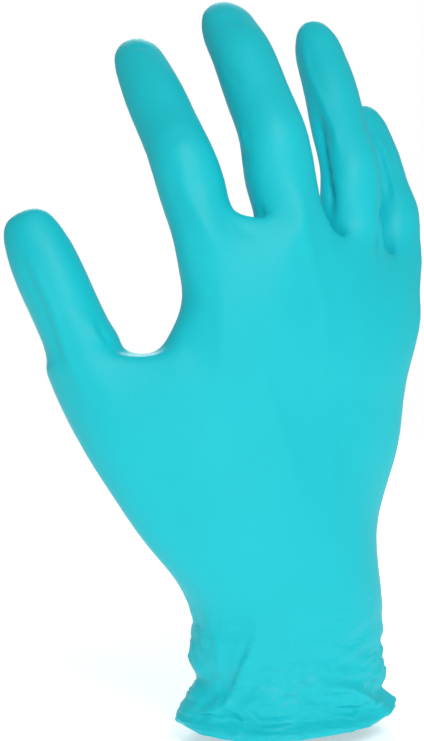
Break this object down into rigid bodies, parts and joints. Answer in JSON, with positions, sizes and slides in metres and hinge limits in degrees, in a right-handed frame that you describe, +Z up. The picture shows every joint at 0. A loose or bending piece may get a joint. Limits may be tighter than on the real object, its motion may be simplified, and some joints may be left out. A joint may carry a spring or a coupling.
{
  "type": "nitrile exam glove",
  "caption": "Thin worn glove for the right hand with spread, gently bent fingers, an open wrist and a rolled bead at the cuff",
  "frame": {"origin": "the centre of the cuff's open mouth, where the wrist goes in and which holds the glove up", "axes": "+Z runs up the hand from the cuff to the fingertips, +Y points from the back of the hand to the palm, +X points from the thumb to the little finger"},
  "size_m": [0.1383, 0.0787, 0.2277],
  "materials": {
    "nitrile": "thin satin nitrile film in plain teal"
  },
  "bodies": {
    "root": {"glove": "nitrile"}
  },
  "joints": []
}
